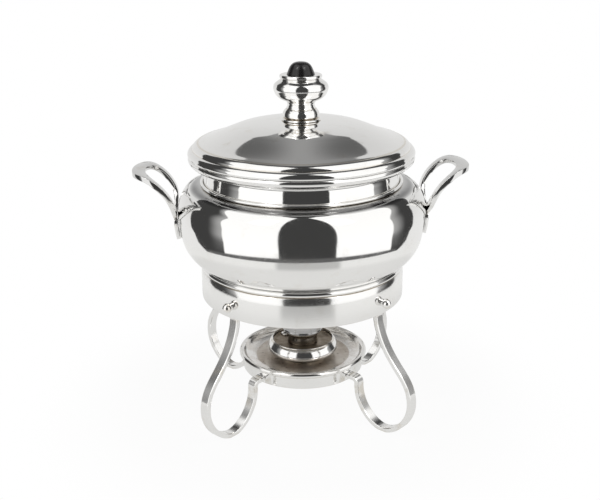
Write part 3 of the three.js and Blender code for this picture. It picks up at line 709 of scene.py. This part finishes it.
# ---- finial
finial = {"foot": 10.3, "footTall": 1.25, "knop": 9.5, "waist": 7.0, "bulb": 14.1, "bulbHeight": 16.7,
          "collar": 10.9, "button": 6.9, "buttonTall": 8.2, "stud": 1.3, "steps": 112}
finialBase = lidBase + domeTop
footOut, footTall = finial["foot"], finial["footTall"]
foot = turnRing("finialFoot", [
    (1.6, 0.06), (footOut - 0.45, 0.06, 0.25), (footOut, 0.42, 0.3), (footOut - 0.25, 0.95, 0.45),
    (footOut - 1.7, footTall, 0.5), (1.6, footTall)], finial["steps"], finialBase)
footSilver = silverPaint("finialFootSilver", [(finialBase + 0.05, 0.4, 0.9), (finialBase + 1.3, 0.35, 0.9)],
                         seed=5.0)
finishPiece(foot, ["finial_foot"], "lid", footSilver)
seat = footTall + 0.06
knop, waist, bulb, high = finial["knop"], finial["waist"], finial["bulb"], finial["bulbHeight"]
stemTop = high + bulb / 3
studEnd = baseOf("finial_stem") - finialBase
stemLine = [(0, studEnd), (finial["stud"], studEnd), (finial["stud"], seat)]
stemLine += curved([
    (knop - 1.35, seat), (knop - 1.25, seat + 0.3), (knop - 0.45, seat + 0.6), (knop - 0.05, seat + 1.1),
    (knop, seat + 1.7), (knop - 0.15, seat + 2.7), (knop - 0.7, seat + 3.7), (knop - 1.6, seat + 4.7)], 5)
stemLine += curved([
    (knop - 1.75, seat + 4.85), (waist + 0.35, seat + 5.5), (waist + 0.05, seat + 6.4),
    (waist + 0.1, seat + 7.3), (waist + 0.45, seat + 8.2), (bulb - 5.6, seat + 8.95)], 5)
stemLine += curved([
    (bulb - 5.2, seat + 9.1), (bulb - 3.5, seat + 9.85), (bulb - 1.5, seat + 11.5), (bulb - 0.4, high - 1.8),
    (bulb, high), (bulb - 0.3, high + 1.4), (bulb - 0.95, high + 2.35), (bulb - 2.0, high + 3.15),
    (finial["collar"] + 0.1, stemTop - 0.8), (finial["collar"] - 0.5, stemTop - 0.3),
    (finial["collar"] - 0.6, stemTop)], 6)
stemLine += [(0, stemTop)]
stem = turnPiece("finialStem", stemLine, finial["steps"], lift=finialBase)
stemSilver = silverPaint("finialSilver", [
    (finialBase + seat + 0.2, 0.35, 0.7), (finialBase + seat + 4.8, 0.3, 0.55), (finialBase + seat + 9.0, 0.3, 0.55)],
    lines=0.4, rough=0.07, seed=6.0)
finishPiece(stem, ["finial_stem"], "lid", stemSilver)
collarAt = stemTop + 0.06
wide, tall, collarOut = finial["button"], finial["buttonTall"], finial["collar"]
collar = turnRing("finialBezel", [
    (wide + 0.15, collarAt), (collarOut - 0.5, collarAt, 0.2), (collarOut, collarAt + 0.5, 0.3),
    (collarOut, collarAt + 1.5, 0.3), (collarOut - 0.45, collarAt + 1.95, 0.3), (wide + 0.15, collarAt + 1.95, 0.15)],
    finial["steps"], finialBase)
collarSilver = silverPaint("finialCollarSilver", [(finialBase + collarAt, 0.4, 0.8)], lines=0.4, seed=7.0)
finishPiece(collar, ["finial_bezel"], "lid", collarSilver)
crown = [(0.99, 0.35), (0.92, 0.5), (0.84, 0.65), (0.72, 0.8), (0.54, 0.92), (0.3, 0.985), (0, 1)]
button = turnPiece("finialButton", [(0, collarAt), (wide, collarAt), (wide, collarAt + 1.96)] + curved(
    [(1.04 * wide, collarAt + 2.0)] + [(out * wide, collarAt + up * tall) for out, up in crown], 6), 80,
    lift=finialBase)
finishPiece(button, ["finial_button"], "lid", buttonPaint("buttonBlack"))
for node, tone in (("finial_washer", 8.0), ("finial_nut", 9.0)):
    plain = satinPaint(f"{node}Satin", rgb(0.6, 0.57, 0.52), rgb(0.4, 0.35, 0.28), seed=tone)
    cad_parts[node].data.materials.clear()
    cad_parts[node].data.materials.append(plain)
print("finial made")

# ---- stand band
band = {"radius": 54.4, "sheet": 0.9, "tall": 16.0, "wire": 1.25, "inset": 1.1, "steps": 160}
bandBase = baseOf("stand_band")
bandInner, bandOut, bandTall = band["radius"] - band["sheet"], band["radius"], band["tall"]
wireMiddle = bandOut - band["inset"]
bandLine = softened([(bandInner, 0, 0.25), (bandOut, 0, 0.5), (bandOut, bandTall - 4.6)])
bandLine += curved([(bandOut, bandTall - 4.2), (bandOut - 0.05, bandTall - 3.0), (bandOut - 0.2, bandTall - 1.7),
                    (bandOut - 0.55, bandTall - 0.6), (wireMiddle, bandTall)], 5)
bandLine += curved([(bandInner - 0.9, bandTall - 0.6), (bandInner - 0.4, bandTall - 1.6),
                    (bandInner, bandTall - 3.0)], 4)
bandShell = turnPiece("standBand", bandLine, band["steps"], closed=True, lift=bandBase)
bandSilver = silverPaint("bandSilver", [(bandBase + bandTall + 0.1, 0.8, 0.9), (bandBase + 0.1, 0.4, 0.25)],
                         rough=0.06, lines=1.6, wobble=0.4, scratches=0.9, seed=10.0,
                         brush=(bandBase - 9, bandBase + 13, 11.0))


# Bores through the wall of a turned piece, from the inner to the outer radius of the reach.
def cutHoles(piece, radius, angles, reach, height, vertices):
    inner, outer = reach
    middle = (inner + outer) / 2
    for angle in angles:
        turn = math.radians(angle)
        place = (middle * math.cos(turn), middle * math.sin(turn), height)
        cutBy(piece, makeRod("drill", radius, outer - inner, place, vertices, turn))


bolt = {"height": 6.4, "radius": 0.85, "loose": 0.25, "ball": 2.5, "out": 2.8, "neck": 1.6}
boltHeight = bandBase + bolt["height"]
cutHoles(bandShell, bolt["radius"] + bolt["loose"], (45, 135, 225, 315), (bandInner - 2, bandOut + 2), boltHeight, 24)
finishPiece(bandShell, ["stand_band"], "stand", bandSilver)
wireHeight = bandBase + bandTall + 0.125 + band["wire"]
bandWire = turnPiece("bandWire", ringLine(wireMiddle, band["wire"], wireHeight, 24), band["steps"], closed=True)
wireSilver = silverPaint("wireSilver", [(wireHeight - 1.1, 0.6, 0.9)], wobble=0.7, seed=11.0)
finishPiece(bandWire, ["band_wire"], "stand", wireSilver)
print("band made")

# ---- legs
leg = {"thick": 2.6, "wide": 5.2, "edge": 0.45, "reach": 74.5, "swell": 19.8, "riserGap": 7.0, "inBand": 0.4,
       "shelf": 2.94, "bend": 2.6}
ring = {"radius": 33.2, "sheet": 0.9, "tall": 6.4}
ringBase = baseOf("burner_ring")
strapFace = bandInner - leg["inBand"]


# The middle line of a leg, as radii and heights, from the band down and back up to the ring.
def legLine():
    inner = strapFace - leg["thick"] / 2
    riser = ring["radius"] + leg["riserGap"]
    drop = bandBase - leg["swell"]
    sweep = [(0.98, 0), (0.888, 0.03), (0.732, 0.141), (0.612, 0.273), (0.509, 0.423), (0.41, 0.595),
             (0.318, 0.766), (0.219, 0.903), (0.11, 0.98)]
    sweep = [(inner + (leg["reach"] - inner) * out, leg["swell"] + drop * up) for up, out in sweep]
    middle, half = (leg["reach"] + riser) / 2, (leg["reach"] - riser) / 2
    bottom = []
    for i in range(13):
        a = i / 12 * math.pi
        side = math.copysign(abs(math.cos(a)) ** 1.11, math.cos(a))
        bottom.append((middle + half * side, leg["swell"] - (leg["swell"] - 0.95) * math.sin(a) ** 1.11))
    line = [(inner, bandBase + 11.6), (inner, bandBase + 6), (inner, bandBase + 1.5)] + curved(sweep + bottom, 5)
    shelf, bend = ringBase + leg["shelf"], leg["bend"]
    for i in range(7):
        a = i / 6 * math.pi / 2
        line.append((riser - bend + bend * math.cos(a), shelf - bend + bend * math.sin(a)))
    line.append((ring["radius"] + 0.3, shelf))
    return line


# A flat strap along the side line, turned to its place.
def makeLeg(name, angle):
    line = legLine()
    sides = {1: [], -1: []}
    for i, (r, z) in enumerate(line):
        a, b = line[max(0, i - 1)], line[min(len(line) - 1, i + 1)]
        run = Vector((b[0] - a[0], b[1] - a[1])).normalized() * (leg["thick"] / 2)
        for side in sides:
            sides[side].append((r - run.y * side, leg["wide"] / 2, max(z + run.x * side, 0.0)))
    outline = sides[1] + list(reversed(sides[-1]))
    piece = drawLine(name, outline, closed=True)
    bpy.ops.mesh.edge_face_add()
    bpy.ops.mesh.extrude_region_move(TRANSFORM_OT_translate={"value": (0, -leg["wide"] * mm, 0)})
    leaveEdit()
    roundEdges(piece, leg["edge"], 60)
    piece.rotation_euler = (0, 0, math.radians(angle))
    return piece


legs = {"back_right": 45, "back_left": 135, "front_left": 225, "front_right": 315}
face, boltEnd = strapFace - leg["thick"] - 0.06, bandOut + bolt["out"]
bore, nutFace = bolt["radius"] + bolt["loose"], bandOut + 0.06
boltLine = [(0, face - 1.1)]
boltLine += curved([(0.5, face - 1.07), (1.3, face - 0.85), (1.85, face - 0.45), (2.1, face)], 4)
boltLine += [(bolt["radius"], face), (bolt["radius"], boltEnd), (0, boltEnd)]
flange = bolt["neck"] + 0.3
ballLine = [(0, boltEnd + 0.25), (bore, boltEnd + 0.25), (bore, nutFace)]
ballLine += softened([(bore, nutFace), (flange, nutFace, 0.1), (flange, nutFace + 0.55, 0.15),
                      (bolt["neck"], nutFace + 0.68)])[1:]
first = math.asin(bolt["neck"] / bolt["ball"])
for k in range(21):
    a = first + (math.pi - first) * k / 20
    ballLine.append((max(0.0, bolt["ball"] * math.sin(a)), boltEnd - bolt["ball"] * math.cos(a)))
for i, (word, angle) in enumerate(legs.items()):
    place = word.title().replace("_", "")
    strap = makeLeg(f"leg{place}", angle)
    strapSilver = silverPaint(f"legSilver{i}", [(0.0, 2.0, 0.3)], rough=0.1, lines=0.0, scratches=0.8,
                              wobble=1.3, tarnish=0.3, seed=12.0 + i)
    finishPiece(strap, [f"leg_{word}"], "stand", strapSilver, angle=20)
    shaft = turnPiece(f"bolt{place}", boltLine, 32)
    nut = turnPiece(f"ballNut{place}", ballLine, 40)
    for part in (shaft, nut):
        part.rotation_euler = (0, math.pi / 2, math.radians(angle))
        part.location = (0, 0, boltHeight * mm)
    finishPiece(shaft, [f"bolt_{word}"], "stand",
                satinPaint(f"boltSatin{i}", rgb(0.62, 0.59, 0.54), rgb(0.4, 0.34, 0.27), seed=20.0 + i))
    nutSilver = silverPaint(f"nutSilver{i}", [(boltHeight, 0.1, 0.1)], lines=0.0, wobble=0.6, tarnish=0.35,
                            seed=24.0 + i)
    finishPiece(nut, [f"ball_nut_{word}"], "stand", nutSilver)
print("legs made")

# ---- ring and tray
ringTop = ringBase + ring["tall"]
ringInner = ring["radius"] - ring["sheet"]
burnerRing = turnRing("burnerRing", [
    (ringInner, ringBase, 0.25), (ring["radius"], ringBase, 0.35), (ring["radius"], ringTop, 0.25),
    (ringInner, ringTop, 0.25)], 128)
ringSilver = silverPaint("ringSilver", [(ringTop, 0.8, 0.7), (ringBase, 0.6, 0.3)], lines=0.7, rough=0.05,
                         tarnish=0.25, seed=30.0)
finishPiece(burnerRing, ["burner_ring"], "stand", ringSilver)
tray = {"roll": 1.45, "rollLift": 0.2, "rim": 33.8, "dish": 0.7, "sheet": 0.9, "floor": 25.7}
rollMiddle = ringTop + tray["rollLift"] + tray["roll"]
floorAt = ringTop - tray["dish"]
spigot = ringInner - 0.3
spigotIn, trayUnder = spigot - tray["sheet"], floorAt - tray["sheet"]
trayLine = [(0, trayUnder), (tray["floor"], trayUnder), (spigotIn, ringTop + 0.15)]
trayLine += softened([(spigotIn, ringTop), (spigotIn, ringTop - 2.3, 0.2), (spigot, ringTop - 2.3, 0.2),
                      (spigot, ringTop + 0.06, 0.15), (ring["radius"], ringTop + 0.06)])[1:]
trayLine += [(tray["rim"] + tray["roll"] * math.cos(a), rollMiddle + tray["roll"] * math.sin(a))
             for a in [-math.pi / 2 + i / 20 * 1.2 * math.pi for i in range(21)]]
trayLine += curved([(32.4, floorAt + 2.5), (31.6, floorAt + 1.55), (30.6, floorAt + 0.95), (29.2, floorAt + 0.45),
                    (27.6, floorAt + 0.14), (tray["floor"], floorAt)], 5)
trayLine += [(0, floorAt)]
dripTray = turnPiece("dripTray", trayLine, 128)
finishPiece(dripTray, ["drip_tray"], "tray",
            satinPaint("traySatin", rgb(0.8, 0.755, 0.7), rgb(0.58, 0.51, 0.44), rough=0.33, seed=31.0, rings=0.15,
                       rim=(tray["floor"], 32.2, 0.09)))
print("tray made")

# ---- burner
burner = {"radius": 19.4, "tall": 10.0, "foot": 13.6, "well": 16.7, "depth": 3.2, "wick": 2.0, "tubeWall": 0.9,
          "hub": 8.4, "air": 1.5, "airAngles": (234, 354, 114), "collar": 13.5, "cap": 10.4, "capTall": 8.0,
          "capWall": 0.9, "thumb": 2.9}
burnerBase = baseOf("burner_body")
wide, tall, well = burner["radius"], burner["tall"], burner["well"]
ledge = tall - burner["depth"]
bodyLine = [(0, 0)] + softened([(5, 0), (burner["foot"], 0, 0.3), (burner["foot"] + 0.4, 0.9)])[1:]
bodyLine += curved([(burner["foot"] + 0.7, 1.15), (wide - 3.6, 1.6), (wide - 1.6, 2.4), (wide - 0.4, 3.5), (wide, 4.7),
                    (wide - 0.2, 6.0), (wide - 0.75, 7.3), (wide - 1.5, 8.5), (wide - 2.2, 9.3), (well + 0.25, 9.7),
                    (well, 9.55)], 6)
bodyLine += [(well, ledge), (well - 1.2, ledge), (well - 1.2, ledge - 1.2), (burner["foot"] - 0.4, 1.75), (0, 1.35)]
burnerBody = turnPiece("burnerBody", bodyLine, 112, lift=burnerBase)
burnerSilver = silverPaint("burnerSilver", [(burnerBase + 0.2, 0.8, 0.8), (burnerBase + tall - 0.8, 0.6, 0.5)],
                           rough=0.07, wobble=1.2, tarnish=0.35, lines=0.6, seed=32.0)
finishPiece(burnerBody, ["burner_body"], "burner", burnerSilver)
plateAt = ledge + 0.06
plateTop = plateAt + 0.85
tubeOut = burner["wick"] + 0.3 + burner["tubeWall"]
plate = turnRing("burnerPlate", [
    (tubeOut + 0.3, plateAt), (well - 0.3, plateAt), (well - 0.3, plateTop + 0.5, 0.2), (well - 1.3, plateTop, 0.8),
    (tubeOut + 0.3, plateTop, 0.2)], 96, burnerBase)
fillAt = (-0.36 * (well + burner["hub"]), 0.35 * (well + burner["hub"]))
cutBy(plate, makeRod("drill", 2.1, 6, (*fillAt, burnerBase + ledge + 1)))
# The burner plate is dark brown, mottled darker still.
finishPiece(plate, ["burner_plate"], "burner",
            satinPaint("plateDarkBrown", rgb(0.42, 0.36, 0.29), rgb(0.2, 0.155, 0.11), rough=0.3, seed=33.0))
lip = plateTop + 0.06
ferrule = turnRing("fillerFerrule", [
    (1.3, plateAt - 1), (1.9, plateAt - 1), (1.9, lip), (2.7, lip, 0.1), (2.6, lip + 0.7, 0.3), (1.9, lip + 0.9, 0.3),
    (1.3, lip + 0.6, 0.2)], 40, burnerBase, fillAt)
finishPiece(ferrule, ["filler_ferrule"], "burner",
            silverPaint("ferruleSilver", rough=0.1, lines=0.0, tarnish=0.4, seed=34.0))
tubeTop, tubeIn = burner["collar"] + 3, tubeOut - burner["tubeWall"]
tube = turnRing("wickTube", [
    (tubeIn, ledge - 1.5), (tubeOut, ledge - 1.5), (tubeOut, tubeTop, 0.35), (tubeIn, tubeTop, 0.2)],
    48, burnerBase)
finishPiece(tube, ["wick_tube"], "burner",
            satinPaint("tubeSatin", rgb(0.5, 0.46, 0.4), rgb(0.25, 0.2, 0.16), seed=35.0))
hub, cap = burner["hub"], burner["cap"]
throat, bore = 0.9 * hub, tubeOut + 0.3
collarTop = burner["collar"]
wickCollar = turnRing("wickCollar", [
    (hub - 0.9, plateTop + 0.06), (hub, plateTop + 0.06, 0.2), (throat, collarTop - 1.2, 1.2),
    (cap - 1, collarTop, 0.5), (cap - 0.2, collarTop + 0.4, 0.2), (cap - 0.2, collarTop + 0.9, 0.15),
    (bore, collarTop + 0.9), (bore, collarTop), (throat - 0.9, collarTop - 1.4, 0.4)], 96, burnerBase)
cutHoles(wickCollar, burner["air"], burner["airAngles"], (4, 12), burnerBase + plateTop + 3, 32)
# The wick collar is a dark brownish grey, mottled darker.
finishPiece(wickCollar, ["wick_collar"], "burner",
            satinPaint("collarDarkBrown", rgb(0.5, 0.46, 0.4), rgb(0.22, 0.18, 0.14), rough=0.22, seed=36.0))
wickTop = tubeTop + 2.6
wick = turnPiece("wickCord", [(0, ledge - 2.3), (burner["wick"], ledge - 2.3)] + curved([
    (burner["wick"], tubeTop + 0.6), (burner["wick"] * 0.95, tubeTop + 1.6), (0.7 * burner["wick"], tubeTop + 2.35),
    (0, wickTop)], 4), 40, lift=burnerBase)
finishPiece(wick, ["wick"], "burner", wickPaint("wickCotton", burnerBase + wickTop))
print("burner made")

# ---- snuffer
capBase = baseOf("snuffer_cap")
capTall, wall = burner["capTall"], burner["capWall"]
capLine = [(cap - wall, 0)]
capLine += softened([(cap - 0.5, 0), (cap + 0.15, 0, 0.15), (cap + 0.4, 0.6, 0.3), (cap, 1.25, 0.3), (cap, 4)])[1:]
capLine += curved([(cap, capTall - 1.9), (cap - 0.2, capTall - 1.1), (cap - 0.8, capTall - 0.45), (cap - 2.2, capTall),
                   (cap - 5, capTall + 0.3), (0, capTall + 0.4)], 5)
capLine += [(0, capTall + 0.4 - wall)]
capLine += curved([(4, capTall - wall + 0.2), (cap - 2.4, capTall - wall), (cap - wall, capTall - wall - 1)], 4)
capLine += [(cap - wall, 0)]
snufferCap = turnPiece("snufferCap", capLine, 88, lift=capBase)
# The cap is darkened by painted shade, strongest near its lower edge.
finishPiece(snufferCap, ["snuffer_cap"], "snuffer",
            silverPaint("capSilver", [(capBase, 0.6, 0.7)], rough=0.1, wobble=1.6, tarnish=0.6, lines=0.8,
                        seed=37.0, paintedShades=[(capBase + 1.5, 6.5, 0.62)]))
thumbAt = capBase + 1.9
thumb = makeRod("snufferThumb", burner["thumb"], 1.3, (cap + burner["thumb"] - 0.2, 0, thumbAt), 48)
cutBy(thumb, makeRod("drill", cap + 0.05, 8, (0, 0, thumbAt), 96))
roundEdges(thumb, 0.4, 50, segments=4)
finishPiece(thumb, ["snuffer_thumb"], "snuffer",
            silverPaint("thumbSilver", rough=0.08, lines=0.0, tarnish=0.4, seed=38.0))
print("snuffer made")

# ---- floor, light and camera
shot = {"distance": 480.0, "height": 254.8, "aside": -1.11, "turn": 3.2, "down": 19.159, "roll": 0.459,
        "focal": 940.23, "pixels": 600.0, "sensor": 36.0}
studio = {"floorRadius": 0.27, "slot": (4.9, 26.3), "left": 76.5, "right": 90.5, "sideBack": 122.5,
          "roofLine": 83.0, "gap": (-27.0, -22.6), "glowReach": 19.0, "lampAt": (47.0, 52.0),
          "lampReach": (14.0, 15.0)}
# Of these, the floor's darkening in the strip towards the camera is painted shade.
strength = {"panel": 1.1, "dark": 0.05, "back": 0.74, "table": 0.8, "farTable": 0.12, "slotShade": 0.42,
            "gap": 0.12, "roof": 0.05, "glow": 0.34, "lamp": 7.0}


# In degrees, 0 towards the camera and growing to the right.
def azimuthOf(x, y):
    return x.math("ARCTAN2", -y) * (180 / math.pi) + shot["turn"]


# The dark slot between the two panels, where the photographer stands.
def slotOf(make, azimuth, edge):
    middle, half = studio["slot"]
    return make.fade(abs(azimuth - middle), half - edge, half + edge)


def makeFloor():
    selectNone()
    bpy.ops.mesh.primitive_circle_add(vertices=96, radius=studio["floorRadius"], fill_type="NGON")
    floor = bpy.context.object
    floor.name = "floor"
    material, make = paint("paleFloor")
    x, y, z = placeOf(make)[1]
    reach = (x * x + y * y).math("SQRT")
    seen = make.add("ShaderNodeLightPath", out=0)
    glossy = make.add("ShaderNodeLightPath", out=3)
    plain = make.add("ShaderNodeBsdfPrincipled", {}, {
        "Base Color": rgb(0.84, 0.838, 0.83), "Roughness": 0.4})
    slot = slotOf(make, azimuthOf(x, y), 3)
    far = make.step(reach, 0.165, 0.215)
    # In reflections the floor glows with this tone: 0.8 near the object and lighter further out, but darker further
    # out in the strip towards the camera, which is painted shade.
    table = strength["table"] + far * (strength["farTable"] - slot * strength["slotShade"])
    tone = make.blend(seen, make.add("ShaderNodeCombineColor", {}, [table, table, table * 0.985]), rgb(1, 1, 1))
    white = make.add("ShaderNodeEmission", {}, {"Color": tone, "Strength": 1.0})
    mix = seen * (0.94 + make.step(reach, 0.08, 0.16) * 0.06) + glossy * 0.75
    surface = make.add("ShaderNodeMixShader", {}, [mix.math("MINIMUM", 1.0), plain, white])
    make.add("ShaderNodeOutputMaterial", {}, {"Surface": surface})
    floor.data.materials.append(material)


# The room that the silver mirrors. Heights are in degrees, 0 at the level of the eye.
def makeWorld():
    world = bpy.data.worlds.new("studio")
    bpy.context.scene.world = world
    world.use_nodes = True
    make = Maker(world.node_tree)
    way = make.add("ShaderNodeTexCoord", out=0)
    x, y, z = [make.add("ShaderNodeSeparateXYZ", {}, [way], out=i) for i in range(3)]
    azimuth = azimuthOf(x, y)
    side = abs(azimuth)
    height = z.math("ARCSINE") * (180 / math.pi)
    slot = slotOf(make, azimuth, 0.6)
    left = studio["left"] + make.step(height, 0.0, 25.0) * 6.5 + make.step(height, 34.0, 60.0) * 58.0
    right = studio["right"] + make.step(height, 14.0, 54.0) * 38.0
    beyond = side - make.over(left, right, make.step(azimuth, -1.0, 1.0))
    panels = make.fade(beyond, -0.8, 0.8) * (1.0 - slot)
    glow = make.fade(beyond, 0.0, studio["glowReach"]) * make.step(height, -24.0, -8.0) * strength["glow"]
    backFrom = studio["sideBack"] - make.step(-height, 14.0, 27.0) * 24.0 + make.step(height, 8.0, 42.0) * 34.0
    back = make.step(side - backFrom, -0.6, 0.6)
    roofLine = studio["roofLine"] - make.step(side, 105.0, 146.0) * 28.0 \
        - make.step(side, 147.0, 156.0) * 16.5 - make.step(side, 165.0, 181.0) * 10.5
    under = make.fade(height - roofLine, -0.5, 0.5)
    lamp = make.near(side, studio["lampAt"][0], studio["lampReach"][0]) \
        * make.near(height, studio["lampAt"][1], studio["lampReach"][1])
    panel = strength["panel"] - make.step(height, -24.0, 60.0) * 0.04 + lamp * strength["lamp"]
    backdrop = strength["back"] + 0.1 * make.fade(height, -25.0, 20.0) - 0.08 * make.step(height, 10.0, 40.0)
    roof = strength["roof"] + (0.07 * make.step(side, 138.0, 150.0) + 0.19 * make.step(side, 155.0, 179.0)) \
        * make.fade(height, 60.0, 78.0)
    low, high = studio["gap"]
    gap = make.fade(height, high - 0.5, high + 0.5) * make.fade(side, 96.0, 102.0)
    merge = 0.6 + 9.0 * make.step(side, 97.0, 112.0)
    below = make.fade(height, low - merge, low + merge)
    light = make.over(strength["dark"] + glow * (1.0 - slot), panel, panels)
    light = make.over(light, backdrop, back)
    light = make.over(roof, light, under)
    light = make.over(light, strength["gap"], gap)
    light = make.over(light, strength["table"], below)
    colour = make.add("ShaderNodeCombineColor", {}, [light, light * 0.998, light * 0.99])
    seen = make.add("ShaderNodeLightPath", out=0)
    shown = make.blend(seen, colour, rgb(1, 1, 1))
    surface = make.add("ShaderNodeBackground", {}, {"Color": shown, "Strength": 1.0})
    make.add("ShaderNodeOutputWorld", {}, {"Surface": surface})


makeFloor()
makeWorld()
bpy.context.scene.view_settings.view_transform = "Standard"

lens = bpy.data.cameras.new("camera")
lens.sensor_width = shot["sensor"]
lens.lens = shot["sensor"] * shot["focal"] / shot["pixels"]
lens.clip_start = 0.01
camera = bpy.data.objects.new("camera", lens)
bpy.context.scene.collection.objects.link(camera)
bpy.context.scene.camera = camera
turn = Matrix.Rotation(math.radians(-shot["turn"]), 4, "Z")
place = turn @ Vector((shot["aside"] * mm, -shot["distance"] * mm, shot["height"] * mm))
tilt = Matrix.Rotation(math.radians(90 - shot["down"]), 4, "X") @ Matrix.Rotation(math.radians(-shot["roll"]), 4, "Z")
camera.matrix_world = Matrix.Translation(place) @ turn @ tilt
print("studio ready")
